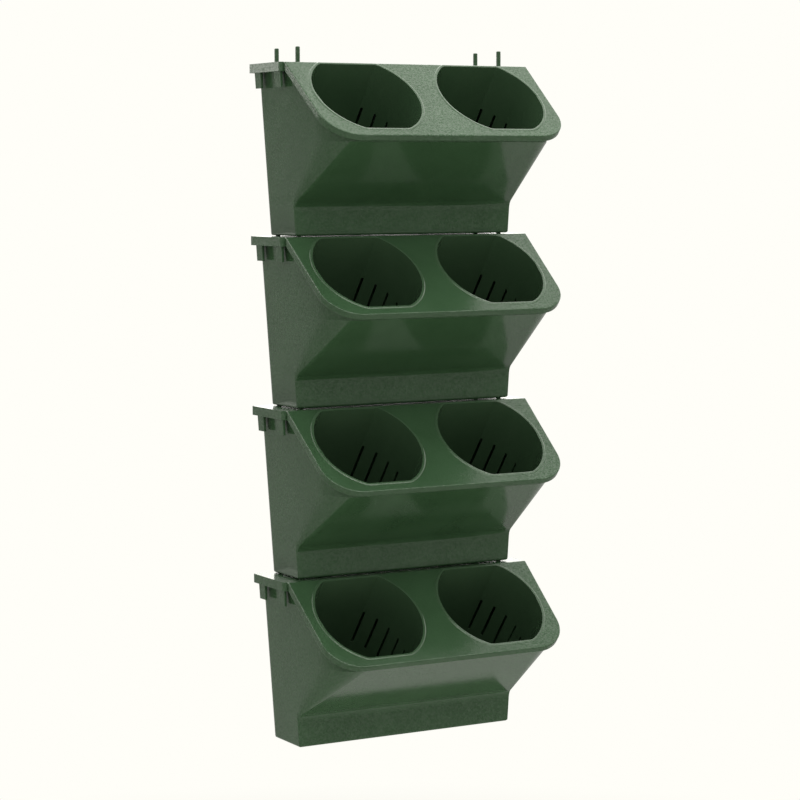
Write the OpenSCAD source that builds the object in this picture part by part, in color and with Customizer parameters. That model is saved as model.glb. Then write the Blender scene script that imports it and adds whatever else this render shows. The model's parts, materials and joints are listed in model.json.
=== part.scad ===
// Stacking wall planter: four moulded tiers, each with a bucket-shaped housing,
// a sloping cover and two lift-out slotted pots. Each tier stands on four pegs
// that rise from the deck of the tier below, and screws to the wall behind it.
//
// Frame: millimetres, +Z up. X = 0 is the centre line, Y = 0 is the wall and
// the front looks to -Y. Z = 0 is the height of the lowest tier's two screw
// holes, so the origin lies midway between them on the wall.

/* [Stack] */
// Height from the underside of one tier to the underside of the next
tier_pitch = 200; // [192:1:215]
// Gap between a deck and the tier that stands above it
stack_gap = 1; // [0.5:0.5:6]

/* [Housing] */
// Width of the housing at its underside
base_w = 288; // [280:1:296]
// Width of the housing at its top edge
top_w = 316; // [312:1:318]
// Depth of the upright foot, from the wall
foot_d = 71; // [68:1:76]
// Height at which the foot meets the sloping underside
foot_h = 35.5; // [33:0.5:40]
// Depth of the housing's front lip, from the wall
lip_d = 181; // [178:1:182]
// Height of the sloping underside at the front lip
lip_h = 104.8; // [101:0.1:105.3]
// Thickness of the housing's walls
wall = 2.5; // [2:0.1:3]
// Radius of the hollow corner between foot and sloping underside
throat_r = 12.5; // [6:0.5:16]
// Corner radius of the foot
foot_r = 5; // [4:0.5:8]
// Corner radius of the housing at the front lip
lip_r = 22; // [16:1:24]
// Corner radius of the two upright back edges
back_r = 10; // [6:1:12]
// Rounding of the bottom edge
sole_r = 2.5; // [1:0.5:5]

/* [Cover] */
// Width of the cover along the back edge of its sloping plate
plate_back_w = 325; // [322:1:328]
// Width of the cover along its front edge
plate_front_w = 316; // [313:1:320]
// Depth of the flat deck, from the wall to the sloping plate
deck_d = 82; // [80:1:86]
// Depth of the sloping plate's front edge, from the wall
rim_d = 190; // [188:1:196]
// Height of the sloping plate's front edge
rim_h = 114.3; // [112:0.1:117]
// Thickness of deck and plate
plate_t = 2.5; // [2:0.1:3]
// Height of the skirt under the plate, square to it
skirt_h = 8; // [6:0.5:9]
// Radius of the cover's front corners
plate_r = 25; // [20:1:30]
// Rounding of the plate's outer edge
edge_r = 1.2; // [0.8:0.2:2]
// Rounding of the bend between deck and plate
bend_r = 3; // [2:0.5:8]

/* [Pots] */
// Distance of each pot's axis from the centre line
pot_x = 82.4; // [81:0.1:84]
// Distance of each pot's axis down the plate from its back edge
pot_v = 61; // [60.6:0.1:61.4]
// Half the width of a pot's mouth
pot_a = 65; // [60:0.5:66]
// Half the length of a pot's mouth down the plate, before its ends are cut off
pot_b = 70; // [66:0.5:72]
// Distance from a pot's axis to the flat cut of its mouth at the back
cut_back = 57.5; // [54:0.5:58]
// Distance from a pot's axis to the flat cut of its mouth at the front
cut_front = 63.5; // [58:0.5:65]
// Thickness of the pot's wall
pot_wall = 1.6; // [1.2:0.1:2]
// Width of the rolled rim that lies on the plate, beyond the pot's wall
rim_lap = 1.9; // [1.4:0.1:2.2]
// Height of the rolled rim above the plate
rim_t = 1.2; // [1:0.1:2]
// Width and height of the step along the rim's outer edge
rim_step = 0.5; // [0.4:0.1:0.8]
// Height of the pot's floor above the tier's underside
pot_floor_h = 30; // [26:1:34]
// Length of each slot in the pot's wall
slot_l = 52; // [40:1:56]
// Width of each slot
slot_w = 3; // [2:0.2:4]
// Depth of the upper slot ends below the plate, along the pot's axis
slot_top = 60; // [56:1:66]
// Number of slots in each flank of a pot
slot_count = 6; // [4:1:6]
// Angle of the first slot, measured round the pot from straight sideways
slot_start = 54; // [50:1:56]
// Angle between neighbouring slots
slot_step = 15.3; // [14:0.1:16]

/* [Pegs and sockets] */
// Diameter of the stacking pegs
peg_dia = 5.5; // [5:0.1:6]
// Diameter of the pegs' thinner ends, below the shoulder that sits on the deck
peg_root_dia = 4.5; // [4:0.1:4.6]
// Height of the pegs above the deck
peg_out = 18.5; // [15:0.5:21]
// Length of peg that is pressed into the deck's boss
peg_in = 12; // [8:1:14]
// Chamfer at the tip of the pegs
peg_tip = 0.6; // [0.4:0.1:1]
// Distance of the pegs from the centre line
peg_x = 135.7; // [134:0.1:136]
// Distance of the back pegs from the wall
peg_back = 8.7; // [8.6:0.1:9.5]
// Distance of the front pegs from the wall
peg_front = 62.3; // [60:0.1:62.6]
// Thickness of plastic round each socket and boss
boss_wall = 3; // [2:0.1:3.2]

/* [Ear] */
// Distance that the ear stands out past the cover's side
ear_out = 4.3; // [3.5:0.1:6]
// Length of the ear, from the wall forwards
ear_l = 78; // [73:0.5:79]
// Distance of the ear's back end from the wall
ear_y = 0; // [0:0.1:1]
// Height of the ear and of the deck's side flange
ear_h = 10.5; // [9:0.5:12]
// Radius of the ear's front corner
ear_r = 4; // [3:0.5:6]
// Length of each hanging hook along the wall-to-front direction
hook_l = 15.5; // [12:0.5:18]
// Thickness of each hook
hook_t = 4.5; // [3.5:0.1:5]
// Radius of the hooks' upright edges
hook_r = 1; // [0.5:0.1:1.5]
// Height of each hook below the ear
hook_h = 18; // [12:1:20]
// Distance of the back hook from the ear's back end
hook_inset_back = 9; // [6:0.5:10]
// Distance of the front hook from the ear's front end
hook_inset_front = 3; // [1.5:0.5:4]
// Distance of the hooks' outer face in from the ear's outer face
hook_inset_side = 1.1; // [0.5:0.1:1.5]

/* [Wall fixing] */
// Height of the screw holes above the tier's underside
screw_h = 150; // [140:1:160]
// Distance between the two screw holes
screw_pitch = 180; // [160:1:200]
// Diameter of the screw holes
screw_dia = 5.5; // [4.5:0.1:6.5]
// Width of the hanging slot in the middle of the back
hang_w = 46; // [36:1:60]
// Height of the hanging slot
hang_h = 14; // [10:1:18]
// Height of the hanging slot's centre above the tier's underside
hang_z = 165; // [160:1:172]

/* [Drainage] */
// Diameter of the drain holes in the foot
drain_dia = 7; // [5:0.5:8]
// Diameter of the inlets in the deck that catch what drains from above
inlet_dia = 12; // [11:0.5:16]
// Distance of the drain holes from the centre line
drain_x = 45; // [40:1:60]

/* [Clearances] */
// Play of a peg in its socket, all round
peg_play = 0.1; // [0.05:0.05:0.1]
// Play of a pot in the cover's opening, all round
pot_play = 0.4; // [0.3:0.05:0.5]
// Space between a pot and the housing round it
pot_room = 1; // [0.8:0.1:1.4]

/* [Hidden] */
$fn = 48;
TIERS = 4;
PIECES = ["housing", "cover", "pot_left", "pot_right", "pegs"];
// Straight pieces in each large rounded corner, and points round a pot's mouth
CORNER_STEPS = 12;
MOUTH_POINTS = 72;

body_green = "#4c6a4b";
cover_green = "#6f8a6f";
pot_green = "#3d5640";
peg_green = "#59705c";

deck_z = tier_pitch - stack_gap;
slope = atan2(deck_z - rim_h, rim_d - deck_d);
plate_l = norm([rim_d - deck_d, deck_z - rim_h]);
under = atan2(lip_h - foot_h, lip_d - foot_d);
flare = (top_w - base_w) / 2 / deck_z;
socket_deep = peg_out - stack_gap;
socket_r = peg_dia / 2 + peg_play;
boss_r = peg_dia / 2 + boss_wall;
drain_y = (peg_back + peg_front) / 2;
ear_root = deck_z - ear_h;
ear_x = plate_back_w / 2 + ear_out;
// Depth below the plate, square to it, where a pot's front wall comes clear of the housing's
lip_clear = (deck_d + (pot_v + cut_front + pot_wall) * cos(slope) + pot_play - lip_d + wall) / sin(slope);
// How far a slot's cutter reaches inwards, past a flank that the housing flattens
slot_cut = 10;
// Length that runs past every piece, for cutting shapes
reach = plate_back_w + rim_d;

// Half the housing's width at a height above its underside
function half_w(z) = base_w / 2 + flare * z;

// Points on an arc, in order
function arc(centre, r, from, to, steps) =
  [for (i = [0:steps]) centre + r * [cos(from + (to - from) * i / steps), sin(from + (to - from) * i / steps)]];

// Plan outline of the housing, anticlockwise: half width, depth, front and back corner radius
function plan(w, d, front_r, rear_r) = concat(
  arc([w - rear_r, -rear_r], rear_r, 0, 90, 4),
  arc([-w + rear_r, -rear_r], rear_r, 90, 180, 4),
  arc([-w + front_r, -d + front_r], front_r, 180, 270, CORNER_STEPS),
  arc([w - front_r, -d + front_r], front_r, 270, 360, CORNER_STEPS));

// Outline of the cover in its own plane, drawn in by an inset all round but at the bend
function plate_outline(inset) =
  let (
    lean = atan2((plate_back_w - plate_front_w) / 2, plate_l),
    r = plate_r - inset,
    cy = plate_l - plate_r,
    cx = plate_back_w / 2 - tan(lean) * cy - plate_r / cos(lean),
    back = plate_back_w / 2 - inset / cos(lean)
  ) concat(
    [[-back, 0], [back, 0]],
    arc([cx, cy], r, lean, 90, CORNER_STEPS),
    arc([-cx, cy], r, 90, 180 - lean, CORNER_STEPS));

// Outline of a pot's mouth: an oval with both ends cut off straight, grown by a distance
function mouth(grow) =
  [for (i = [0:MOUTH_POINTS - 1]) let (
      a = i * 360 / MOUTH_POINTS,
      x = (pot_a + grow) * cos(a),
      v = (pot_b + grow) * sin(a)
    ) [x, v > 0 ? min(v, cut_front + grow) : max(v, -cut_back - grow)]];

// Solid through a stack of equal outlines, each a list of [x, y, z] points, from the bottom up
module loft(rings) {
  n = len(rings[0]);
  m = len(rings);
  points = [for (ring = rings) for (p = ring) p];
  sides = [for (j = [0:m - 2]) for (i = [0:n - 1]) let (
      a = j * n + i,
      b = j * n + (i + 1) % n
    ) for (f = [[a, a + n, b], [b, a + n, b + n]]) f];
  bottom = [for (i = [0:n - 1]) i];
  top = [for (i = [n - 1:-1:0]) (m - 1) * n + i];
  polyhedron(points = points, faces = concat(sides, [bottom, top]), convexity = 6);
}

// Lifts a flat outline to a height
function at_height(outline, z) = [for (p = outline) [p[0], p[1], z]];

// Profile of the housing from the foot's front up the throat to the lip: [depth, height]
throat_l = throat_r * tan((90 - under) / 2);
throat = [for (i = [0:4]) let (a = i * (90 - under) / 4)
    [foot_d + throat_r * (1 - cos(a)), foot_h - throat_l + throat_r * sin(a)]];

// Front corner radius at a depth, growing from the foot to the lip
function corner_r(d) = foot_r + (lip_r - foot_r) * (d - foot_d) / (lip_d - foot_d);

// Outer rings of the housing
outer_rings = concat(
  [for (a = [0, 45, 90]) let (
      inset = sole_r * (1 - sin(a)),
      z = sole_r * (1 - cos(a))
    ) at_height(plan(half_w(z) - inset, foot_d - inset, foot_r, back_r - inset), z)],
  [for (t = throat) at_height(plan(half_w(t[1]), t[0], corner_r(t[0]), back_r), t[1])],
  [for (z = [lip_h, deck_z]) at_height(plan(half_w(z), lip_d, lip_r, back_r), z)]);

// Inner rings of the housing, one wall inside the outer ones
under_shift = wall / cos(under) - wall * tan(under);
inner_rings = [for (t = [
      [foot_d - wall, wall],
      [foot_d - wall, foot_h + under_shift],
      [lip_d - wall, lip_h + under_shift],
      [lip_d - wall, deck_z + 1]
    ]) at_height([for (p = plan(half_w(t[1]) - wall, t[0] - wall, corner_r(t[0]) - wall, back_r - wall))
      [p[0], p[1] - wall]], t[1])];

// Moves its children onto the sloping plate: x along it, y down it, z square into the planter
module on_plate() {
  translate([0, -deck_d, deck_z]) rotate([180 + slope, 0, 0]) children();
}

// Extrudes a [depth, height] outline across the whole planter
module across() {
  translate([-reach / 2, 0, 0]) rotate([90, 0, 90]) linear_extrude(reach) mirror([1, 0]) children();
}

// Places its children at the four peg positions
module at_pegs() {
  for (x = [-peg_x, peg_x]) for (y = [peg_back, peg_front]) translate([x, -y, 0]) children();
}

// Space under the cover: below the deck and the plate, less a distance
module under_cover(less) {
  drop = plate_t + less;
  across() polygon([
    [-reach, -reach],
    [reach, -reach],
    [reach, deck_z - drop / cos(slope) - (reach - deck_d) * tan(slope)],
    [deck_d - drop * tan(slope / 2), deck_z - drop],
    [-reach, deck_z - drop]
  ]);
}

// Everything past a plane, given by a point on it and the direction that it faces
module beyond(point, way) {
  translate(point) rotate([0, acos(way[2] / norm(way)), atan2(way[1], way[0])])
    translate([-reach, -reach, 0]) cube([2 * reach, 2 * reach, reach]);
}

// Inside of the housing, drawn in by a distance from its walls and down to a floor,
// with its upright back corners cut off where the housing's are rounded
module room(inset, floor_z) {
  gap = wall + inset;
  side = gap / cos(atan(flare));
  shift = gap / cos(under) - gap * tan(under);
  difference() {
    straight_room(gap, side, shift, floor_z);
    for (way = [-1, 1]) beyond([way * (half_w(0) - side), -back_r, 0], [way, 1, -flare]);
  }
}

// The same space with sharp corners
module straight_room(gap, side, shift, floor_z) {
  intersection() {
    across() polygon([
      [gap, floor_z],
      [foot_d - gap, floor_z],
      [foot_d - gap, foot_h + shift],
      [foot_d - gap + reach * cos(under), foot_h + shift + reach * sin(under)],
      [gap, reach]
    ]);
    rotate([90, 0, 0]) linear_extrude(reach) polygon([
      [-half_w(0) + side, 0],
      [half_w(0) - side, 0],
      [half_w(reach) - side, reach],
      [-half_w(reach) + side, reach]
    ]);
  }
}

module housing() {
  color(body_green) difference() {
    union() {
      difference() {
        loft(outer_rings);
        loft(inner_rings);
      }
      at_pegs() cylinder(h = socket_deep + boss_wall, r = boss_r);
    }
    difference() {
      translate([-reach / 2, -reach / 2, 0]) cube([reach, reach, reach]);
      under_cover(0);
    }
    difference() {
      translate([-reach / 2, -reach - lip_d + 2 * wall, 0]) cube([reach, reach, reach]);
      under_cover(lip_clear - plate_t);
    }
    at_pegs() translate([0, 0, -1]) cylinder(h = socket_deep + 1, r = socket_r);
    for (x = [-screw_pitch / 2, screw_pitch / 2])
      translate([x, 1, screw_h]) rotate([90, 0, 0]) cylinder(h = wall + 2, r = screw_dia / 2);
    translate([0, 1, hang_z]) rotate([90, 0, 0]) linear_extrude(wall + 2) {
      square([hang_w - hang_h, hang_h], center = true);
      for (x = [-1, 1]) translate([x * (hang_w - hang_h) / 2, 0]) circle(d = hang_h);
    }
    for (x = [-drain_x, drain_x]) translate([x, -drain_y, -1]) cylinder(h = wall + 2, r = drain_dia / 2);
  }
}

// Sloping plate with its skirt, before the pot openings are cut
module plate_shell() {
  difference() {
    loft([
      at_height(plate_outline(edge_r), 0),
      at_height(plate_outline(edge_r * (1 - sin(45))), edge_r * (1 - cos(45))),
      at_height(plate_outline(0), edge_r),
      at_height(plate_outline(0), skirt_h)
    ]);
    translate([0, 0, plate_t]) linear_extrude(reach)
      polygon(concat(
        [[plate_back_w / 2 - plate_t, -1], [-plate_back_w / 2 + plate_t, -1]],
        [for (i = [len(plate_outline(plate_t)) - 1:-1:2]) plate_outline(plate_t)[i]]));
  }
}

// Flat deck with a flange down each side, the ear on its left and the bosses for the pegs
module deck() {
  outer = plate_back_w / 2;
  difference() {
    translate([-outer, -deck_d, ear_root]) cube([2 * outer, deck_d, ear_h]);
    translate([-outer + plate_t, -deck_d - 1, ear_root - 1])
      cube([2 * (outer - plate_t), deck_d + 2, ear_h - plate_t + 1]);
  }
  ear();
  at_pegs() translate([0, 0, deck_z - peg_in]) cylinder(h = peg_in, r = boss_r);
}

// Ear, a hood that stands out on the left, and its two hooks
module ear() {
  back_hook = ear_y + hook_inset_back;
  front_hook = ear_y + ear_l - hook_inset_front - hook_l;
  translate([-ear_x, -ear_y - ear_l, ear_root]) difference() {
    ear_block(ear_h, 0);
    translate([0, 0, -1]) ear_block(ear_h - plate_t + 1, plate_t);
  }
  for (y = [back_hook, front_hook])
    translate([-ear_x + hook_inset_side, -y - hook_l, ear_root - hook_h]) hook();
}

// Plain block of the ear, its outer front corner rounded, drawn in by an inset
module ear_block(height, inset) {
  wide = ear_out + plate_t;
  linear_extrude(height) {
    translate([inset, ear_r]) square([wide - inset, ear_l - ear_r - inset]);
    translate([ear_r, inset]) square([wide - ear_r, ear_r]);
    translate([ear_r, ear_r]) circle(r = ear_r - inset);
  }
}

// One hanging hook, rooted in the skin above it
module hook() {
  linear_extrude(hook_h + ear_h - plate_t / 2) {
    translate([0, hook_r]) square([hook_t, hook_l - 2 * hook_r]);
    translate([hook_r, 0]) square([hook_t - 2 * hook_r, hook_l]);
    for (x = [hook_r, hook_t - hook_r]) for (y = [hook_r, hook_l - hook_r]) translate([x, y]) circle(r = hook_r);
  }
}

// Sliver that rounding takes off the bend between deck and plate
module bend_sliver() {
  t = bend_r * tan(slope / 2);
  across() polygon(concat(
    [[deck_d - t, deck_z + 1], [deck_d - t, deck_z]],
    [for (a = [0:slope / 6:slope]) [deck_d - t + bend_r * sin(a), deck_z - bend_r * (1 - cos(a))]],
    [[deck_d + t * cos(slope) + sin(slope), deck_z - t * sin(slope) + cos(slope)]]));
}

module cover() {
  color(cover_green) difference() {
    union() {
      deck();
      on_plate() plate_shell();
    }
    on_plate() for (x = [-pot_x, pot_x]) translate([x, pot_v, -reach / 2])
      linear_extrude(reach / 2 + plate_t + 1) polygon(mouth(pot_wall + pot_play));
    at_pegs() translate([0, 0, deck_z - peg_in - 1]) cylinder(h = peg_in + 2, r = peg_root_dia / 2);
    for (x = [-drain_x, drain_x]) translate([x, -drain_y, deck_z - ear_h]) cylinder(h = reach, r = inlet_dia / 2);
    bend_sliver();
  }
}

// One slotted pot; side is -1 for the left one and 1 for the right one
module pot(side) {
  color(pot_green) difference() {
    union() {
      intersection() {
        on_plate() translate([side * pot_x, pot_v, -rim_t]) linear_extrude(reach) polygon(mouth(pot_wall));
        room(pot_room, pot_floor_h);
      }
      on_plate() translate([side * pot_x, pot_v, -rim_t]) {
        translate([0, 0, rim_step]) linear_extrude(rim_t - rim_step) polygon(mouth(pot_wall + rim_lap));
        linear_extrude(rim_t) polygon(mouth(pot_wall + rim_lap - rim_step));
      }
    }
    intersection() {
      on_plate() translate([side * pot_x, pot_v, -reach / 2]) linear_extrude(reach) polygon(mouth(0));
      room(pot_room + pot_wall, pot_floor_h + pot_wall);
    }
    on_plate() translate([side * pot_x, pot_v, 0]) slots();
  }
}

// Slots in both flanks of a pot, cut straight through its wall
module slots() {
  for (flank = [0, 180]) for (i = [0:slot_count - 1]) {
    a = slot_start - i * slot_step;
    turn = flank == 0 ? -a : 180 + a;
    centre = [(pot_a + pot_wall / 2) * cos(turn), (pot_b + pot_wall / 2) * sin(turn), 0];
    translate(centre) rotate([0, 0, turn]) {
      translate([-slot_cut, -slot_w / 2, slot_top + slot_w / 2])
        cube([slot_cut * 1.5, slot_w, slot_l - slot_w]);
      for (z = [slot_top + slot_w / 2, slot_top + slot_l - slot_w / 2])
        translate([-slot_cut, 0, z]) rotate([0, 90, 0]) cylinder(h = slot_cut * 1.5, r = slot_w / 2);
    }
  }
}

// Four pegs, each with a shoulder that sits on the deck and a thinner end pressed into it
module pegs() {
  color(peg_green) at_pegs() translate([0, 0, deck_z]) {
    translate([0, 0, -peg_in]) cylinder(h = peg_in + peg_tip, r = peg_root_dia / 2);
    cylinder(h = peg_out - peg_tip, r = peg_dia / 2);
    translate([0, 0, peg_out - peg_tip]) cylinder(h = peg_tip, r1 = peg_dia / 2, r2 = peg_dia / 2 - peg_tip);
  }
}

// One piece of one tier, at its height in the stack
module piece(tier, name) {
  translate([0, 0, (tier - 1) * tier_pitch - screw_h]) {
    if (name == "housing") housing();
    if (name == "cover") cover();
    if (name == "pot_left") pot(-1);
    if (name == "pot_right") pot(1);
    if (name == "pegs") pegs();
  }
}

for (tier = [1:TIERS]) for (name = PIECES)
  piece(tier, name);
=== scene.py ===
# %% [markdown]
# # A stacking wall planter of moulded green plastic
# Four equal tiers stand on one another against a wall. A tier has a bucket-shaped
# housing, a cover that slopes to the front, two slotted pots that drop through it,
# and four pegs that carry the next tier. All of it is injection-moulded
# polypropylene, so the looks rest on three things: thin walls, small rounded
# edges that catch a thin line of light, and a satin skin with a fine grain.
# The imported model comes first: it fixes where each piece is and what moves.

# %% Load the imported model
import bmesh
import bpy
import json
import math
from mathutils import Matrix, Vector

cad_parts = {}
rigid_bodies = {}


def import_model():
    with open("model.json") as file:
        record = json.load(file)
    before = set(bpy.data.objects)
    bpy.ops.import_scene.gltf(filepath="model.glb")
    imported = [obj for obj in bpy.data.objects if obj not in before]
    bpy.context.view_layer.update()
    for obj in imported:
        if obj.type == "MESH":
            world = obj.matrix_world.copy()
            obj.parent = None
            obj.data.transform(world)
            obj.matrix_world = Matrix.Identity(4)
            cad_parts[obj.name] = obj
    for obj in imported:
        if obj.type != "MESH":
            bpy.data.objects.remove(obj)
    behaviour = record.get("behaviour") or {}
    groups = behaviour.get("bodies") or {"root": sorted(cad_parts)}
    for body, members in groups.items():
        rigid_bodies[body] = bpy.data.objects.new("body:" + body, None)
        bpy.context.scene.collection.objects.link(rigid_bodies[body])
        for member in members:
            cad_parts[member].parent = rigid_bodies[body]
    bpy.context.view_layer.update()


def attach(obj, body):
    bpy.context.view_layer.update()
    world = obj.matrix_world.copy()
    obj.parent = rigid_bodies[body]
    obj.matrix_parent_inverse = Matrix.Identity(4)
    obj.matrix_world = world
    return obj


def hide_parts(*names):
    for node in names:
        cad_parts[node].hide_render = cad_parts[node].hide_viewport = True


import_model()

# %% [markdown]
# ## Sizes
# A moulded part repeats a few sizes everywhere, so they are written once, in
# millimetres, and MM turns them to Blender's metres. The frame is that of the
# solids: X to the right, Y into the wall, Z up, and zero at the lowest tier's
# screw holes. Within a tier, heights count from its foot and depths from the wall.

# %% Sizes shared by the pieces
MM = 0.001
TIERS = (1, 2, 3, 4)
TIER_PITCH, SCREW_HEIGHT, DECK_Z = 200 * MM, 150 * MM, 199 * MM
BASE_HALF, TOP_HALF = 144 * MM, 158 * MM
FOOT_DEPTH, FOOT_HEIGHT, LIP_DEPTH, LIP_HEIGHT = 71 * MM, 35.5 * MM, 181 * MM, 107.3 * MM
DECK_DEPTH, RIM_DEPTH, RIM_HEIGHT = 82 * MM, 190 * MM, 114.3 * MM
WALL, PLATE = 2.5 * MM, 2.5 * MM
SLOPE = math.atan2(DECK_Z - RIM_HEIGHT, RIM_DEPTH - DECK_DEPTH)
UNDER = math.atan2(LIP_HEIGHT - FOOT_HEIGHT, LIP_DEPTH - FOOT_DEPTH)
PLATE_LENGTH = math.hypot(RIM_DEPTH - DECK_DEPTH, DECK_Z - RIM_HEIGHT)
FLARE = (TOP_HALF - BASE_HALF) / DECK_Z


def tier_foot(tier):
    return (tier - 1) * TIER_PITCH - SCREW_HEIGHT


def half_width(z):
    return BASE_HALF + FLARE * z


print("slope of the plate", round(math.degrees(SLOPE), 2), "of the underside", round(math.degrees(UNDER), 2))

# %% [markdown]
# ## Camera
# The camera stands where the photograph was taken from: to the left, a little
# above the middle, with a long lens that keeps the four tiers nearly parallel.
# Its place was solved from points on the tiers, so it is set by numbers.

# %% Camera
PHOTO_WIDTH, FOCAL_PIXELS, SENSOR_WIDTH = 800, 2480.1, 36
CAMERA_PLACE = (-1.450588, -2.623248, 0.520694)
TURN, TIP, ROLL = -29.4952, 90 - 5.2004, -0.1956
lens_view = bpy.data.cameras.new("photo_camera")
lens_view.sensor_width = SENSOR_WIDTH
lens_view.lens = SENSOR_WIDTH * FOCAL_PIXELS / PHOTO_WIDTH
camera = bpy.data.objects.new("photo_camera", lens_view)
stance = Matrix.Translation(CAMERA_PLACE)
for angle, axis in ((TURN, "Z"), (TIP, "X"), (ROLL, "Z")):
    stance = stance @ Matrix.Rotation(math.radians(angle), 4, axis)
camera.matrix_world = stance
bpy.context.scene.collection.objects.link(camera)
bpy.context.scene.camera = camera
bpy.context.scene.view_settings.view_transform = "Standard"
print("lens", round(lens_view.lens, 1), "mm")

# %% [markdown]
# ## Two small helpers for nodes and colours
# Every material and every Geometry Nodes tree below is a list of nodes. One
# helper adds a node, sets it up and wires it, so that a tree reads like a recipe.
# The inputs are given in their order, or by name or number. Where an input is
# itself a node, its first output is linked, and a list makes several links.
# Colours are written as the hex values a screen shows; Blender wants them linear.

# %% Helpers
def add_node(tree, kind, inputs=(), **settings):
    made = tree.nodes.new(kind)
    for name, value in settings.items():
        setattr(made, name, value)
    for socket, value in inputs.items() if isinstance(inputs, dict) else enumerate(inputs):
        for one in value if isinstance(value, list) else [value]:
            source = one.outputs[0] if isinstance(one, bpy.types.Node) else one
            if isinstance(source, bpy.types.NodeSocket):
                tree.links.new(source, made.inputs[socket])
            else:
                made.inputs[socket].default_value = source
    return made


def linear(hex_colour):
    parts = [int(hex_colour[i:i + 2], 16) / 255 for i in (1, 3, 5)]
    return (*[c / 12.92 if c <= 0.04045 else ((c + 0.055) / 1.055) ** 2.4 for c in parts], 1)


print("a mid green in linear values", [round(c, 3) for c in linear("#2f5233")])

# %% [markdown]
# ## Studio
# A glossy plastic shows its surroundings more than its colour, so each kind of
# ray sees its own world. The camera sees plain white. Reflections see a dome
# that is bright above the horizon, brightest behind the planter, and dim below
# it. A window in front and high up draws thin bright lines along rounded edges.
# The matt part of the surface gets a low even fill, and two broad lamps, one
# overhead and one in front and above, which stay out of the reflections.
# A Map Range node does the shading: it turns a span of one value into another.

# %% World
world = bpy.data.worlds.new("white_studio")
bpy.context.scene.world = world
world.use_nodes = True
sky = world.node_tree
sky.nodes.clear()
SURROUND, FILL = linear("#fffef8"), 0.45
# Strengths in reflections: below and above the horizon, from front to back, and of the window
BELOW, ABOVE, WINDOW = (0.25, 0.33), (0.6, 2.7), 3.0
# Heights in the sphere of directions, from -1 to 1, over which the dome and the window begin
HORIZON, SILL = (0.005, 0.03), (0.4, 0.55)
SOFT = {"interpolation_type": "SMOOTHSTEP"}
seen = add_node(sky, "ShaderNodeLightPath").outputs
mirror = add_node(sky, "ShaderNodeMath", (seen["Is Glossy Ray"], seen["Is Transmission Ray"]),
                  operation="MAXIMUM")
direction = add_node(sky, "ShaderNodeTexCoord").outputs["Generated"]
axes = add_node(sky, "ShaderNodeSeparateXYZ", (direction,)).outputs
low = add_node(sky, "ShaderNodeMapRange", (axes["Y"], -0.75, 0.2, *BELOW), **SOFT)
high = add_node(sky, "ShaderNodeMapRange", (axes["Y"], -0.6, 0.87, *ABOVE), **SOFT)
pane = add_node(sky, "ShaderNodeMapRange", (axes["Y"], -0.42, -0.3, WINDOW, 0.0), **SOFT)
window = add_node(sky, "ShaderNodeMapRange", (axes["Z"], *SILL, 0.0, pane), **SOFT)
above = add_node(sky, "ShaderNodeMath", (high, window), operation="ADD")
horizon = add_node(sky, "ShaderNodeMapRange", (axes["Z"], *HORIZON, 0.0, 1.0), **SOFT)
dome = add_node(sky, "ShaderNodeMix", {0: horizon, 2: low, 3: above})
fill = add_node(sky, "ShaderNodeBackground", (SURROUND, FILL))
mirrored = add_node(sky, "ShaderNodeBackground", (SURROUND, dome))
plain = add_node(sky, "ShaderNodeBackground", (SURROUND, 1.0))
lit = add_node(sky, "ShaderNodeMixShader", (mirror, fill, mirrored))
shown = add_node(sky, "ShaderNodeMixShader", (seen["Is Camera Ray"], lit, plain))
add_node(sky, "ShaderNodeOutputWorld", {"Surface": shown})
print("world nodes", len(sky.nodes))

# %% Lamps
def softbox(name, place, aim, width, depth, brightness):
    """A broad area lamp; brightness is how it would look, with white as 1."""
    lamp = bpy.data.lights.new(name, "AREA")
    lamp.shape, lamp.size, lamp.size_y = "RECTANGLE", width, depth
    lamp.energy = brightness * math.pi * width * depth
    holder = bpy.data.objects.new(name, lamp)
    look = (Vector(aim) - Vector(place)).to_track_quat("-Z", "Y")
    holder.matrix_world = Matrix.LocRotScale(Vector(place), look, None)
    holder.visible_camera = holder.visible_glossy = False
    bpy.context.scene.collection.objects.link(holder)


softbox("overhead_softbox", (0.9, 0.35, 3.3), (0.9, 0.36, 0), 4.4, 3.6, 1.9)
softbox("front_softbox", (-0.5, -2.6, 2.7), (0, 0, 0.3), 2.0, 1.4, 3.2)
print("lamps", len(bpy.data.lights))

# %% [markdown]
# The floor lies well below, as under a planter that hangs on a wall, and keeps
# the planter's shadow. Its far part is the same white as the surroundings, so it
# has no edge, and reflections see all of it half as bright. Its underside is
# clear, so that it hides nothing from a camera below it.

# %% Floor
FLOOR_Z, FLOOR_HALF, FAR_PART, FLOOR_MIRRORED = -0.66, 30, (1.1, 1.9), 0.5
corners = [(x * FLOOR_HALF, y * FLOOR_HALF, FLOOR_Z) for x, y in ((-1, -1), (1, -1), (1, 1), (-1, 1))]
floor_mesh = bpy.data.meshes.new("floor")
floor_mesh.from_pydata(corners, [], [(0, 1, 2, 3)])
floor = bpy.data.objects.new("floor", floor_mesh)
bpy.context.scene.collection.objects.link(floor)
painted = bpy.data.materials.new("pale_painted_floor")
painted.use_nodes = True
coat = painted.node_tree
coat.nodes.clear()
seen = add_node(coat, "ShaderNodeLightPath").outputs
mirror = add_node(coat, "ShaderNodeMath", (seen["Is Glossy Ray"], seen["Is Transmission Ray"]),
                  operation="MAXIMUM")
spot = add_node(coat, "ShaderNodeTexCoord").outputs["Object"]
away = add_node(coat, "ShaderNodeVectorMath", (spot,), operation="LENGTH").outputs["Value"]
far = add_node(coat, "ShaderNodeMapRange", (away, *FAR_PART), **SOFT)
far_seen = add_node(coat, "ShaderNodeMath", (far, seen["Is Camera Ray"]), operation="MULTIPLY")
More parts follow.
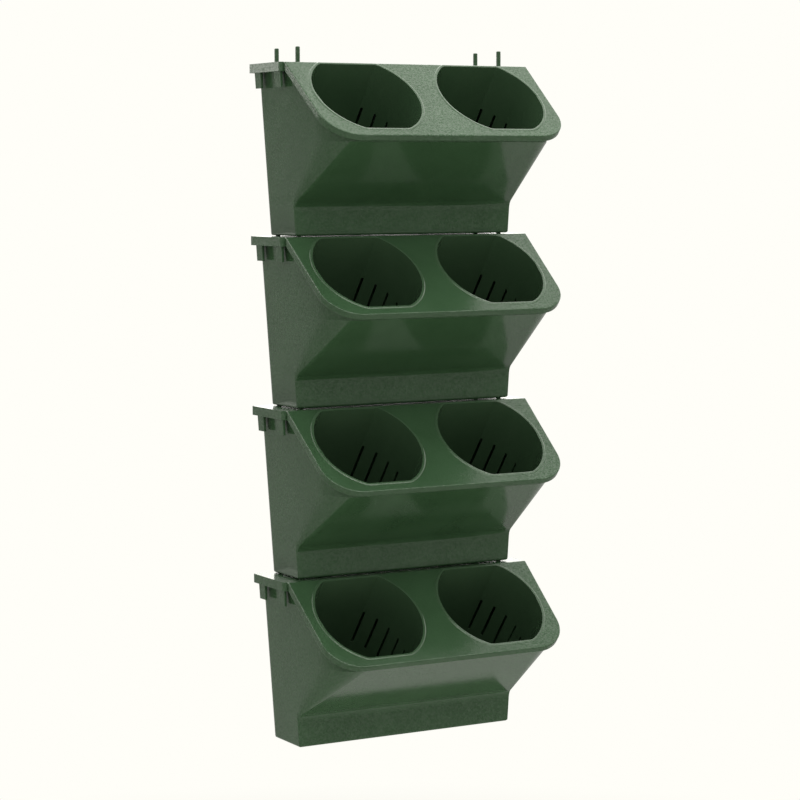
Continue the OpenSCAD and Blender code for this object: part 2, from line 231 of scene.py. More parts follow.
white = add_node(coat, "ShaderNodeMath", (mirror, far_seen), operation="MAXIMUM")
paint = add_node(coat, "ShaderNodeBsdfDiffuse", {"Color": linear("#e4e3de")})
dimmer = add_node(coat, "ShaderNodeMapRange", (mirror, 0.0, 1.0, 1.0, FLOOR_MIRRORED))
glow = add_node(coat, "ShaderNodeEmission", {"Color": SURROUND, "Strength": dimmer})
top = add_node(coat, "ShaderNodeMixShader", (white, paint, glow))
clear = add_node(coat, "ShaderNodeBsdfTransparent")
underside = add_node(coat, "ShaderNodeNewGeometry").outputs["Backfacing"]
sheet = add_node(coat, "ShaderNodeMixShader", (underside, top, clear))
add_node(coat, "ShaderNodeOutputMaterial", {"Surface": sheet})
floor_mesh.materials.append(painted)
print("floor", floor.name)

# %% [markdown]
# ## Green polypropylene
# The real finish is dark green polypropylene, coloured through and moulded in a
# steel tool with a spark-eroded satin texture. That gives the eye a deep green
# under a clear, fairly sharp reflection, broken by a fine grain. The grain of
# the real tool is about 0.3 mm, too fine to show here, so it is drawn 2 mm wide.
# It roughens the surface a little and makes the reflection stronger or weaker
# from grain to grain. Slow changes of colour and gloss, 60 mm across, stand for
# the flow of the melt. Each moulding gets its own shade of the same recipe; the
# pots' shade is lighter as painted light, to brighten their shaded insides.

# %% Material of the mouldings
GRAIN, FLOW = 1 / (2 * MM), 1 / (60 * MM)
MIXED_SPAN, GRAIN_SPAN = (0.7, 1.3), (0.35, 0.65)
GLOSS_SPREAD, MIDDLE_SHEEN = 0.09, 0.5


def moulded_polypropylene(name, dark, light, gloss, grain_height, sheen_spread):
    """Gloss is the least roughness; the sheen goes up and down by its spread."""
    made = bpy.data.materials.new(name)
    made.use_nodes = True
    tree = made.node_tree
    tree.nodes.clear()
    place = add_node(tree, "ShaderNodeTexCoord").outputs["Object"]
    grain = add_node(tree, "ShaderNodeTexNoise",
                     {"Vector": place, "Scale": GRAIN, "Detail": 2.0, "Roughness": 0.6})
    flow = add_node(tree, "ShaderNodeTexNoise",
                    {"Vector": place, "Scale": FLOW, "Detail": 3.0, "Distortion": 0.6})
    mixed = add_node(tree, "ShaderNodeMath", (flow, grain), operation="ADD")
    share = add_node(tree, "ShaderNodeMapRange", (mixed, *MIXED_SPAN))
    colour = add_node(tree, "ShaderNodeMix", {0: share, 6: linear(dark), 7: linear(light)}, data_type="RGBA")
    satin = add_node(tree, "ShaderNodeMapRange", (mixed, *MIXED_SPAN, gloss, gloss + GLOSS_SPREAD))
    sheen = add_node(tree, "ShaderNodeMapRange",
                     (grain, *GRAIN_SPAN, MIDDLE_SHEEN - sheen_spread, MIDDLE_SHEEN + sheen_spread))
    relief = add_node(tree, "ShaderNodeBump", {"Height": grain, "Strength": 1.0, "Distance": grain_height})
    skin = add_node(tree, "ShaderNodeBsdfPrincipled",
                    {"Base Color": colour.outputs[2], "Roughness": satin, "IOR": 1.45,
                     "Specular IOR Level": sheen, "Normal": relief})
    add_node(tree, "ShaderNodeOutputMaterial", {"Surface": skin})
    return made


finish = {
    "housing_plastic": moulded_polypropylene("satin_moulded_polypropylene_housing", "#3b583b", "#436143",
                                             0.08, 0.035 * MM, 0.25),
    "cover_plastic": moulded_polypropylene("satin_moulded_polypropylene_cover", "#3b583b", "#436143",
                                           0.12, 0.12 * MM, 0.35),
    # The pots' lighter green is painted light: it brightens their shaded insides.
    "pot_plastic": moulded_polypropylene("smooth_moulded_polypropylene_pot", "#445f44", "#4b654a",
                                         0.13, 0.05 * MM, 0.2),
    "peg_plastic": moulded_polypropylene("extruded_polypropylene_peg", "#3b573b", "#435f43",
                                         0.14, 0.01 * MM, 0.2),
}
print("finishes", sorted(finish))

# %% [markdown]
# ## From outlines to solids
# A tapered moulding is a stack of outlines. Each ring has the same number of
# points, so a loft only has to join ring to ring. The loft could also be a
# Solidify on a cage, but then the wall would not stay even where the underside
# slopes; two lofts, one inside the other, keep it exact.

# %% Loft, and a mesh made an object
def volume(mesh):
    """Volume in cubic centimetres; negative where the faces point inwards."""
    shape = bmesh.new()
    shape.from_mesh(mesh)
    held = shape.calc_volume(signed=True) * 1e6
    open_edges = sum(not edge.is_manifold for edge in shape.edges)
    if open_edges:
        print("  ", mesh.name, "has", open_edges, "open edges")
    shape.free()
    return held


def show(name, mesh):
    made = bpy.data.objects.new(name, mesh)
    bpy.context.scene.collection.objects.link(made)
    return made


def to_object(name, points, faces):
    """A closed shape made an object, with its faces turned outwards."""
    mesh = bpy.data.meshes.new(name)
    mesh.from_pydata(points, [], faces)
    if faces and volume(mesh) < 0:
        mesh.flip_normals()
    return show(name, mesh)


def loft(name, rings):
    """Skin through equal rings, from the bottom up, with both ends closed."""
    n, m = len(rings[0]), len(rings)
    points = [p for ring in rings for p in ring]
    faces = []
    for j in range(m - 1):
        k = j + 1
        faces += [(j * n + i, j * n + (i + 1) % n, k * n + (i + 1) % n, k * n + i) for i in range(n)]
    faces.append(tuple(range(n - 1, -1, -1)))
    faces.append(tuple((m - 1) * n + i for i in range(n)))
    return to_object(name, points, faces)


def arc(cx, cy, r, start, end, steps):
    turns = [math.radians(start + (end - start) * i / steps) for i in range(steps + 1)]
    return [(cx + r * math.cos(t), cy + r * math.sin(t)) for t in turns]


print("loft ready")

# %% [markdown]
# Holes and slots are cut with Boolean modifiers on one finished solid. Edges
# left sharp by the cuts get a Bevel, and Weighted Normal keeps the big flat
# faces flat in the reflections. The result is baked to a plain mesh.

# %% Cut, round and bake
def cut(solid, cutters, way="DIFFERENCE"):
    for cutter in cutters:
        saw = solid.modifiers.new(way.lower(), "BOOLEAN")
        saw.operation, saw.solver, saw.object = way, "MANIFOLD", cutter
    return solid


def bake(solid, cutters=()):
    """The evaluated shape as a plain mesh; the working objects are removed."""
    bpy.context.view_layer.update()
    graph = bpy.context.evaluated_depsgraph_get()
    mesh = bpy.data.meshes.new_from_object(solid.evaluated_get(graph))
    for used in (solid, *cutters):
        bpy.data.objects.remove(used)
    return mesh


def soften(solid, width, angle=32):
    """Round every edge that is sharper than the angle, in degrees."""
    solid.data.shade_smooth()
    edge = solid.modifiers.new("rounded_edges", "BEVEL")
    edge.width, edge.segments, edge.limit_method = width, 3, "ANGLE"
    edge.angle_limit, edge.use_clamp_overlap, edge.loop_slide = math.radians(angle), True, True
    flat = solid.modifiers.new("flat_faces_stay_flat", "WEIGHTED_NORMAL")
    flat.keep_sharp, flat.weight = True, 80
    return solid


def box(name, x0, x1, y0, y1, z0, z1):
    points = [(x, y, z) for z in (z0, z1) for y in (y0, y1) for x in (x0, x1)]
    sides = [(0, 2, 3, 1), (4, 5, 7, 6), (0, 1, 5, 4), (1, 3, 7, 5), (3, 2, 6, 7), (2, 0, 4, 6)]
    return to_object(name, points, sides)


def rod(name, x, y, z0, z1, radius, steps=24):
    ring = arc(x, y, radius, 0, 360 - 360 / steps, steps - 1)
    return loft(name, [[(*p, z0) for p in ring], [(*p, z1) for p in ring]])


print("cutting tools ready")

# %% [markdown]
# ## Housing
# The bucket tapers to its foot, and from the bend of the cover forwards its
# sides also lean in a little. Its plan is a rounded rectangle whose front
# corners are sharp at the foot and grow to 55 mm along the side and 34 mm along
# the front at the lip, so the underside fans out into soft corners. The profile
# runs up the foot, through a hollow throat and along the underside to the lip.

# %% Plan and profile of the housing
BACK_R, SOLE_R, THROAT_R = 10 * MM, 2.5 * MM, 12.5 * MM
# Sizes of a front corner, along the side and across the front
FOOT_CORNER, THROAT_CORNER, LIP_CORNER = (1 * MM, 1 * MM), (8 * MM, 3 * MM), (55 * MM, 34 * MM)
# How far past a round stretch its flats are held by a point
HOLD = 0.5 * MM
# How much the sides lean in for each unit of depth in front of the deck
NARROW = 6.5 / 99
THROAT_LENGTH = THROAT_R * math.tan((math.pi / 2 - UNDER) / 2)
throat = [(FOOT_DEPTH + THROAT_R * (1 - math.cos(a)), FOOT_HEIGHT - THROAT_LENGTH + THROAT_R * math.sin(a))
          for a in [i / 10 * (math.pi / 2 - UNDER) for i in range(11)]]
THROAT_DEPTH, THROAT_TOP = throat[-1]


def lean_in(depth):
    """How far the side wall has leant in at a depth."""
    return max(depth - DECK_DEPTH, 0) * NARROW


def plan(half, depth, front_corner, back_r, z):
    """One ring: rounded corners, with points just past each so that the flats stay flat."""
    along, across = front_corner
    bend = min(DECK_DEPTH, depth - along - 2 * HOLD)
    back = arc(half - back_r, -back_r, back_r, 0, 90, 8)
    right = [(half, -bend), (half, -back_r - HOLD), *back, (half - back_r - HOLD, 0)]
    left = [(-x, y) for x, y in reversed(right)]
    start = depth - along
    lean = NARROW if start > DECK_DEPTH + HOLD else 0
    middle = -half + lean_in(start) + math.hypot(across, lean * along)
    first = math.degrees(math.atan(lean * along / across))
    curve = [(middle + across * x, -start + along * y) for x, y in arc(0, 0, 1, 180 + first, 270, 16)]
    front = [(-half + lean_in(start - HOLD), -start + HOLD), *curve, (middle + HOLD, -depth)]
    return [(x, y, z) for x, y in right + left + front + [(-x, y) for x, y in reversed(front)]]


def fan(depth):
    """Size of the front corner, along and across, growing evenly from the throat to the lip."""
    share = (depth - THROAT_DEPTH) / (LIP_DEPTH - THROAT_DEPTH)
    return [a + (b - a) * share for a, b in zip(THROAT_CORNER, LIP_CORNER)]


def corner_size(depth, wall=0):
    """Size of the front corner less a wall: quick through the throat, then even to the lip."""
    share = min((depth - FOOT_DEPTH) / (THROAT_DEPTH - FOOT_DEPTH), 1)
    size = fan(depth) if share == 1 else [a + (b - a) * share for a, b in zip(FOOT_CORNER, THROAT_CORNER)]
    return [max(one - wall, HOLD) for one in size]


print("throat from", throat[0], "to", throat[-1])

# %% Outside and inside of the housing
def along_underside(distance):
    return THROAT_DEPTH + distance * math.cos(UNDER), THROAT_TOP + distance * math.sin(UNDER)


under_length = (LIP_DEPTH - THROAT_DEPTH) / math.cos(UNDER)
quarter = [i / 6 * math.pi / 2 for i in range(7)]
sole = [(SOLE_R * (1 - math.sin(a)), SOLE_R * (1 - math.cos(a))) for a in quarter]
outer = [plan(half_width(z) - s, FOOT_DEPTH - s, FOOT_CORNER, BACK_R - s, z) for s, z in sole]
profile = [(FOOT_DEPTH, SOLE_R + HOLD), (FOOT_DEPTH, throat[0][1] - HOLD), *throat,
           along_underside(HOLD), along_underside(under_length - HOLD), (LIP_DEPTH, LIP_HEIGHT),
           (LIP_DEPTH, LIP_HEIGHT + HOLD), (LIP_DEPTH, DECK_Z)]
outer += [plan(half_width(z), d, corner_size(d), BACK_R, z) for d, z in profile]
shift = WALL / math.cos(UNDER) - WALL * math.tan(UNDER)
throat_inside = FOOT_HEIGHT + shift + (THROAT_DEPTH - FOOT_DEPTH) * math.tan(UNDER)
inner = [[(x, y - WALL, z) for x, y, z in
          plan(half_width(z) - WALL, d - WALL * 2, corner_size(d, WALL), BACK_R - WALL, z)]
         for d, z in [(FOOT_DEPTH, WALL), (FOOT_DEPTH, FOOT_HEIGHT + shift), (THROAT_DEPTH, throat_inside),
                      (LIP_DEPTH, LIP_HEIGHT + shift), (LIP_DEPTH, DECK_Z + MM)]]
print("rings outside", len(outer), "inside", len(inner), "points each", len(outer[0]))

# %% [markdown]
# The top edge follows the cover, so a bent slab takes off all that is above the
# deck and the plate. The front wall ends lower, where the pots pass over it.
# The mouths in the plate set how much lower, so their sizes come first.

# %% Sizes of the mouths, and the slab above the cover
# Middle of a mouth across and down the plate, and its half width and half length before the cuts
POT_X, POT_V, POT_A, POT_B = 82.4 * MM, 61 * MM, 65 * MM, 70 * MM
CUT_BACK, CUT_FRONT = 57.5 * MM, 63.5 * MM
POT_WALL, POT_GAP = 1.6 * MM, 0.4 * MM
# Farther than any piece reaches, and a place behind the wall
FAR, BEHIND = 0.4, -10 * MM
mouth_front = DECK_DEPTH + (POT_V + CUT_FRONT + POT_WALL) * math.cos(SLOPE) + POT_GAP
LIP_CLEAR = (mouth_front - LIP_DEPTH + WALL) / math.sin(SLOPE)


def over_cover(name, drop, near, far):
    """All that lies above the cover's outside less a drop, between two depths."""
    bend = DECK_DEPTH - drop * math.tan(SLOPE / 2)
    end = DECK_Z - drop / math.cos(SLOPE) - (FAR - DECK_DEPTH) * math.tan(SLOPE)
    side = [(BEHIND, DECK_Z - drop), (bend, DECK_Z - drop), (FAR, end), (FAR, FAR), (BEHIND, FAR)]
    slab = loft(name, [[(x, -y, z) for y, z in side] for x in (-FAR, FAR)])
    strip = box(name + "_strip", -FAR, FAR, -far, -near, -FAR, FAR)
    return show(name, bake(cut(slab, [strip], "INTERSECT"), [strip]))


lid = over_cover("above_cover", PLATE, 2 * BEHIND, FAR + BEHIND)
front_lid = over_cover("above_front_wall", LIP_CLEAR, LIP_DEPTH - 5 * MM, FAR + BEHIND)
print("the front wall ends", round(LIP_CLEAR / MM, 1), "mm below the top of the plate")

# %% [markdown]
# The foot's blind sockets are bosses with a hole, so that the pegs below find
# their way in. The foot also has two drains, and the back wall has two screw
# holes and a hanging slot with round ends.

# %% Sockets, drains and holes in the back wall
PEG_X, PEG_BACK, PEG_FRONT = 135.7 * MM, 8.7 * MM, 62.3 * MM
SOCKET_R, BOSS_R, SOCKET_DEEP, SOCKET_TOP = 2.85 * MM, 5.75 * MM, 17.5 * MM, 20.5 * MM
DRAIN_X, DRAIN_Y, DRAIN_R = 45 * MM, -FOOT_DEPTH / 2, 3.5 * MM
SCREW_X, SCREW_R = 90 * MM, 2.75 * MM
SLOT_X, SLOT_Z, SLOT_R = 16 * MM, 165 * MM, 7 * MM


def through_wall(name, outline):
    """A cutter through the back wall, from its outline in x and z."""
    return loft(name, [[(x, y, z) for x, z in outline] for y in (MM, -4 * MM)])


pegs_at = [(x, -y) for x in (-PEG_X, PEG_X) for y in (PEG_BACK, PEG_FRONT)]
bosses = [rod("socket_boss", x, y, 0.2 * MM, SOCKET_TOP, BOSS_R) for x, y in pegs_at]
sockets = [rod("socket", x, y, -MM, SOCKET_DEEP, SOCKET_R) for x, y in pegs_at]
drains = [rod("drain", x, DRAIN_Y, -MM, 4 * MM, DRAIN_R) for x in (-DRAIN_X, DRAIN_X)]
screw_holes = [through_wall("screw_hole", arc(x, SCREW_HEIGHT, SCREW_R, 0, 345, 23))
               for x in (-SCREW_X, SCREW_X)]
slot_outline = arc(SLOT_X, SLOT_Z, SLOT_R, -90, 90, 14) + arc(-SLOT_X, SLOT_Z, SLOT_R, 90, 270, 14)
hanging_slot = through_wall("hanging_slot", slot_outline)
print("bosses and cutters", len(bosses) + len(sockets) + len(drains) + len(screw_holes) + 3)

# %% Housing put together
housing = loft("housing", outer)
hollow = loft("hollow", inner)
cut(housing, [hollow])
cut(housing, bosses, "UNION")
cutters = [lid, front_lid, *sockets, *drains, *screw_holes, hanging_slot]
cut(housing, cutters)
housing_mesh = bake(housing, [hollow, *bosses, *cutters])
housing_mesh = bake(soften(show("housing", housing_mesh), 0.5 * MM))
print("housing", len(housing_mesh.polygons), "faces", round(volume(housing_mesh), 1), "cubic centimetres")

# %% [markdown]
# ## Cover
# The cover is one sheet, bent where the deck meets the sloping plate, with a
# skirt all round. It is drawn flat first: each point of its outline has a place
# along the sheet, and the bend carries it to its place in space. The section
# of the skirt, with its rounded outer edge, then follows the whole outline.

# %% The bend and the outline
BEND_R, SKIRT, FLANGE, PLATE_R, EDGE_R = 3 * MM, 8 * MM, 10.5 * MM, 42 * MM, 1.2 * MM
BACK_HALF, FRONT_HALF = 162.5 * MM, 158 * MM
LEAN = math.atan2(BACK_HALF - FRONT_HALF, PLATE_LENGTH)
# The deck's flange turns into the plate's lower skirt within this distance of the bend
CHANGE = 8 * MM


def bent(u, v, down):
    """A point of the flat sheet: u across, v forwards from the bend, down into the sheet."""
    half = BEND_R * math.tan(SLOPE / 2)
    if v < -half:
        return (u, -DECK_DEPTH - v, DECK_Z - down)
    if v > half:
        y, z = DECK_DEPTH + v * math.cos(SLOPE), DECK_Z - v * math.sin(SLOPE)
        return (u, -(y - down * math.sin(SLOPE)), z - down * math.cos(SLOPE))
    a = (v + half) / (2 * half) * SLOPE
    y, z = DECK_DEPTH - half + (BEND_R - down) * math.sin(a), DECK_Z - BEND_R + (BEND_R - down) * math.cos(a)
    return (u, -y, z)


def skirt_height(v):
    return FLANGE + (SKIRT - FLANGE) * min(max((v + CHANGE) / (2 * CHANGE), 0), 1)


def cover_outline(inset):
    """Half of the outline, from the wall to the front, as (u, v, skirt height)."""
    r, cy = PLATE_R - inset, PLATE_LENGTH - PLATE_R
    cx = BACK_HALF - math.tan(LEAN) * cy - PLATE_R / math.cos(LEAN)
    side = [(BACK_HALF - inset, v) for v in (-DECK_DEPTH, -CHANGE, -5 * MM)]
    side += [(BACK_HALF - inset / math.cos(LEAN) - math.tan(LEAN) * max(v, 0), v)
             for v in [(i - 5) * HOLD for i in range(11)]]
    turns = [math.pi / 2 - LEAN - i / 20 * (math.pi / 2 - LEAN) for i in range(21)]
    curve = [(cx + r * math.sin(a), cy + r * math.cos(a)) for a in turns]
    before = (curve[0][0] + HOLD * math.sin(LEAN), curve[0][1] - HOLD)
    return [(u, v, skirt_height(v)) for u, v in [*side, before, *curve, (cx - HOLD, PLATE_LENGTH - inset)]]


print("points in half the outline", len(cover_outline(0)))

# %% [markdown]
# The section runs from the top over the rounded edge, down the skirt, round its
# foot, up the inside and through a filled inner corner. Each of its points is an
# inset from the outline and a rule for its depth, which may ask for the skirt's
# height.

# %% Skin of the cover
def cover_line(inset, down_of):
    """One line along the whole cover: left half from the wall, then right half back to it."""
    right = [bent(u, v, down_of(skirt)) for u, v, skirt in cover_outline(inset)]
    return [(-x, y, z) for x, y, z in right] + right[::-1]


section = [(EDGE_R + HOLD, lambda s: 0)]
section += [(EDGE_R * (1 - math.sin(a)), lambda s, a=a: EDGE_R * (1 - math.cos(a))) for a in quarter]
section += [(0, lambda s: EDGE_R + HOLD), (0, lambda s: s - 1.1 * MM), (0, lambda s: s - 0.6 * MM),
            (0.2 * MM, lambda s: s - 0.15 * MM), (0.6 * MM, lambda s: s), (PLATE - 0.6 * MM, lambda s: s),
            (PLATE - 0.2 * MM, lambda s: s - 0.15 * MM), (PLATE, lambda s: s - 0.6 * MM),
            (PLATE, lambda s: s - 1.1 * MM), (PLATE, lambda s: PLATE + 1.2 * MM),
            (PLATE + 0.3 * MM, lambda s: PLATE + 0.3 * MM), (PLATE + 1.2 * MM, lambda s: PLATE)]
lines = [cover_line(inset, down_of) for inset, down_of in section]


def cover_shell():
    """Skin from line to line, then the top and the underside from left to right, and the back."""
    n, m = len(lines[0]), len(lines)
    points = [p for line in lines for p in line]
    faces = [(j * n + i, j * n + i + 1, (j + 1) * n + i + 1, (j + 1) * n + i)
             for j in range(m - 1) for i in range(n - 1)]
    for j, order in ((0, 1), (m - 1, -1)):
        strip = [(j * n + i, j * n + n - 1 - i, j * n + n - 2 - i, j * n + i + 1) for i in range(n // 2 - 1)]
        faces += [face[::order] for face in strip]
    ends = [[j * n for j in range(m)], [j * n + n - 1 for j in range(m)]]
    faces.append(tuple(ends[0] + ends[1][::-1]))
    return to_object("cover", points, faces)


cover = cover_shell()
print("cover skin", len(cover.data.polygons), "faces")

# %% [markdown]
# The ear is a small hood that stands out on the left, with two hooks under it.
# Its back end is cut off square at the wall and its front corner is rounded.
# The hooks taper a little, as a moulding does to leave its tool.

# %% Ear and hooks
EAR_OUT, EAR_LENGTH, EAR_ROOT, EAR_R = 4.3 * MM, 78 * MM, 188.5 * MM, 4 * MM
HOOK_L, HOOK_T, HOOK_H, HOOK_INSET, HOOK_TAPER = 15.5 * MM, 4.5 * MM, 18 * MM, 1.1 * MM, 2 * MM
HOOKS_AT = (9 * MM, EAR_LENGTH - 3 * MM - HOOK_L)
SHARP = 0.05 * MM


def rounded_block(name, x0, x1, y0, y1, z0, z1, radii, taper=0):
    """An upright block; radii are those of its corners, anticlockwise from the back right.
    The taper is how far the outer side has come in at the bottom."""
    spots = [(x1, y1, -1, -1, 0), (x0, y1, 1, -1, 90), (x0, y0, 1, 1, 180), (x1, y0, -1, 1, 270)]
    ring = [p for (x, y, sx, sy, start), r in zip(spots, radii)
            for p in arc(x + sx * r, y + sy * r, r, start, start + 90, 6)]
    foot = [(x1 - (x1 - x) * (1 - taper / (x1 - x0)), y) for x, y in ring]
    return loft(name, [[(*p, z0) for p in foot], [(*p, z1) for p in ring]])


ear_x = -BACK_HALF - EAR_OUT
ear = rounded_block("ear", ear_x, -BACK_HALF + PLATE, -EAR_LENGTH, 0, EAR_ROOT, DECK_Z,
                    (SHARP, SHARP, EAR_R, SHARP))
ear_hollow = rounded_block("ear_hollow", ear_x + PLATE, -BACK_HALF + PLATE + MM, -EAR_LENGTH + PLATE, -PLATE,
                           EAR_ROOT - MM, DECK_Z - PLATE, (SHARP, SHARP, EAR_R - PLATE, SHARP))
hook_x = ear_x + HOOK_INSET
hooks = [rounded_block("hook", hook_x, hook_x + HOOK_T, -y - HOOK_L, -y, EAR_ROOT - HOOK_H,
                       DECK_Z - PLATE / 2, (MM,) * 4, HOOK_TAPER) for y in HOOKS_AT]
print("hooks", len(hooks))

# %% [markdown]
# The mouths are ovals with both ends cut off straight, the same rule for the
# hole in the plate and for the pot in it. Each grows by a wall or a gap.
# ON_PLATE carries a flat drawing, x across and y down the slope, onto the plate.

# %% Openings, inlets and bosses of the cover
ON_PLATE = Matrix.Translation((0, -DECK_DEPTH, DECK_Z)) @ Matrix.Rotation(math.pi + SLOPE, 4, "X")
INLET_R = 6 * MM


def mouth(grow, steps=96):
    turns = [2 * math.pi * i / steps for i in range(steps)]
    return [((POT_A + grow) * math.cos(t),
             min(max((POT_B + grow) * math.sin(t), -CUT_BACK - grow), CUT_FRONT + grow)) for t in turns]


def plate_cutter(side):
    rings = [[ON_PLATE @ Vector((side * POT_X + x, POT_V + v, depth)) for x, v in mouth(POT_WALL + POT_GAP)]
             for depth in (8 * MM, -8 * MM)]
    return loft("opening", rings)


openings = [plate_cutter(side) for side in (-1, 1)]
inlets = [rod("inlet", x, DRAIN_Y, DECK_Z - 6 * MM, DECK_Z + 3 * MM, INLET_R) for x in (-DRAIN_X, DRAIN_X)]
peg_bosses = [rod("peg_boss", x, y, DECK_Z - 12 * MM, DECK_Z - MM, BOSS_R) for x, y in pegs_at]
cut(ear, [ear_hollow])
cut(cover, [ear, *hooks, *peg_bosses], "UNION")
cut(cover, [*openings, *inlets])
cover_mesh = bake(cover, [ear, ear_hollow, *hooks, *peg_bosses, *openings, *inlets])
cover_mesh = bake(soften(show("cover", cover_mesh), 0.6 * MM))
print("cover", len(cover_mesh.polygons), "faces", round(volume(cover_mesh), 1), "cubic centimetres")

# %% [markdown]
# ## Pots
# A pot follows a rule, so Geometry Nodes make it. A mouth outline is drawn out
# into a long cup; what lies inside the housing's room is kept, and a smaller cup
# is taken out of it. The slots are one shape set along each flank, and the rim
# is a low bead that follows the mouth. The room's front corners are chamfers,
# which is near enough, because the cup is rounder there than the housing.

# %% Room for the pots inside the housing
POT_ROOM, POT_FLOOR = 1 * MM, 30 * MM
# How far the underside is drawn on, and the height of the room's top, both well past the pots
REACH, ROOM_TOP = 0.2, 0.3


def room(name, inset, floor_z):
    """The housing's inside drawn in by an inset, in the plate's own axes."""
    gap = WALL + inset
    side = gap / math.cos(math.atan(FLARE))
    step = gap / math.cos(UNDER) - gap * math.tan(UNDER)
    front = FOOT_DEPTH - gap
    far = front + REACH * math.cos(UNDER)
    rings = []
    for depth, z in ((front, floor_z), (front, FOOT_HEIGHT + step),
                     (far, FOOT_HEIGHT + step + REACH * math.sin(UNDER)), (far, ROOM_TOP)):
        along, across = [max(size - gap, HOLD) * (2 - math.sqrt(2)) for size in fan(depth)]
        w, c, bend = half_width(z) - side, BACK_R - gap, min(DECK_DEPTH, depth - along - MM)
        right = [(w - lean_in(depth) - across, -depth, z), (w - lean_in(depth - along), -depth + along, z),
                 (w, -bend, z), (w, -BACK_R, z), (w - c, -gap, z)]
        rings.append(right + [(-x, y, z) for x, y, z in reversed(right)])
    made = loft(name, rings)
    made.data.transform(ON_PLATE.inverted())
    return made


room_outside = room("room_outside", POT_ROOM, POT_FLOOR)
room_inside = room("room_inside", POT_ROOM + POT_WALL, POT_FLOOR + POT_WALL)
print("room faces", len(room_outside.data.polygons))

# %% [markdown]
# A tree is a recipe with named inputs. The first small one draws the mouth: it
# puts the points of a circle on the oval and cuts both ends off straight.

# %% A new tree, and the mouth rule
def new_tree(name, wanted):
    """A tree with named inputs and one shape as its result. An input is given by its starting
    value, or by what kind of thing it holds."""
    tree = bpy.data.node_groups.new(name, "GeometryNodeTree")
    for label, value in wanted.items():
        kind = value if isinstance(value, str) else {int: "Int", float: "Float"}[type(value)]
        socket = tree.interface.new_socket(name=label, in_out="INPUT", socket_type="NodeSocket" + kind)
        if kind != value:
            socket.default_value = value
    tree.interface.new_socket(name="Geometry", in_out="OUTPUT", socket_type="NodeSocketGeometry")
    return tree, add_node(tree, "NodeGroupInput").outputs


def mouth_tree():
    tree, get = new_tree("mouth_outline", {
        "Grow": 0.0, "Height": 0.0, "Points": 96, "Half Width": POT_A, "Half Length": POT_B,
        "Back Cut": CUT_BACK, "Front Cut": CUT_FRONT})
    index = add_node(tree, "GeometryNodeInputIndex")
    turn = add_node(tree, "ShaderNodeMath", (index, get["Points"]), operation="DIVIDE")
    angle = add_node(tree, "ShaderNodeMath", (turn, 2 * math.pi), operation="MULTIPLY")
    cosine = add_node(tree, "ShaderNodeMath", (angle,), operation="COSINE")
    sine = add_node(tree, "ShaderNodeMath", (angle,), operation="SINE")
    half_across, half_along, back, front = [
        add_node(tree, "ShaderNodeMath", (get[name], get["Grow"]), operation="ADD")
        for name in ("Half Width", "Half Length", "Back Cut", "Front Cut")]
    x = add_node(tree, "ShaderNodeMath", (half_across, cosine), operation="MULTIPLY")
    oval = add_node(tree, "ShaderNodeMath", (half_along, sine), operation="MULTIPLY")
    front_cut = add_node(tree, "ShaderNodeMath", (oval, front), operation="MINIMUM")
    back_end = add_node(tree, "ShaderNodeMath", (back, -1.0), operation="MULTIPLY")
    both_cut = add_node(tree, "ShaderNodeMath", (front_cut, back_end), operation="MAXIMUM")
    place = add_node(tree, "ShaderNodeCombineXYZ", (x, both_cut, get["Height"]))
    ring = add_node(tree, "GeometryNodeMeshCircle", {"Vertices": get["Points"]}, fill_type="NGON")
    moved = add_node(tree, "GeometryNodeSetPosition", {"Geometry": ring, "Position": place})
    add_node(tree, "NodeGroupOutput", (moved,))
    return tree


mouth_outline = mouth_tree()
print("mouth rule nodes", len(mouth_outline.nodes))

# %% [markdown]
# A flat face that is drawn out leaves its own place empty, so a copy of it,
# turned over, closes the solid. The same small tree serves the cups and the slots.

# %% Drawn-out solid
def draw_out_tree():
    tree, get = new_tree("draw_out", {"Mesh": "Geometry", "Length": 0.01})
    along = add_node(tree, "ShaderNodeCombineXYZ", {"Z": get["Length"]})
    drawn = add_node(tree, "GeometryNodeExtrudeMesh",
                     {"Mesh": get["Mesh"], "Offset": along, "Offset Scale": 1.0, "Individual": False})
    base = add_node(tree, "GeometryNodeFlipFaces", {"Mesh": get["Mesh"]})
    both = add_node(tree, "GeometryNodeJoinGeometry", ([drawn, base],))
    whole = add_node(tree, "GeometryNodeMergeByDistance", {"Geometry": both, "Distance": 0.001 * MM})
    add_node(tree, "NodeGroupOutput", (whole,))
    return tree


draw_out = draw_out_tree()
print("draw-out nodes", len(draw_out.nodes))

# %% [markdown]
# The slots stand in a row along each flank of the pot and run down it. They are
# one bar with round ends, set on points by an instance node: the first half of
# the points is on the right flank and the rest on the left.

# %% Slots on both flanks
# How far a bar reaches from the middle of the pot's wall
BAR_IN, BAR_OUT = 13 * MM, 7 * MM


def slot_bar(tree, get):
    shape = add_node(tree, "GeometryNodeCurvePrimitiveQuadrilateral",
                     {"Width": get["Slot Length"], "Height": get["Slot Width"]})
    # Just under half, because a fillet of the full half would leave an edge without length
    radius = add_node(tree, "ShaderNodeMath", (get["Slot Width"], 0.499), operation="MULTIPLY")
    rounded = add_node(tree, "GeometryNodeFilletCurve", {"Curve": shape, "Count": 5, "Radius": radius},
                       mode="POLY")
    face = add_node(tree, "GeometryNodeFillCurve", {"Curve": rounded}, mode="NGONS")
    bar = add_node(tree, "GeometryNodeGroup", {"Mesh": face, "Length": BAR_IN + BAR_OUT}, node_tree=draw_out)
    return add_node(tree, "GeometryNodeTransform",
                    {"Geometry": bar, "Translation": (-BAR_IN, 0, 0), "Rotation": (0, math.pi / 2, 0)})


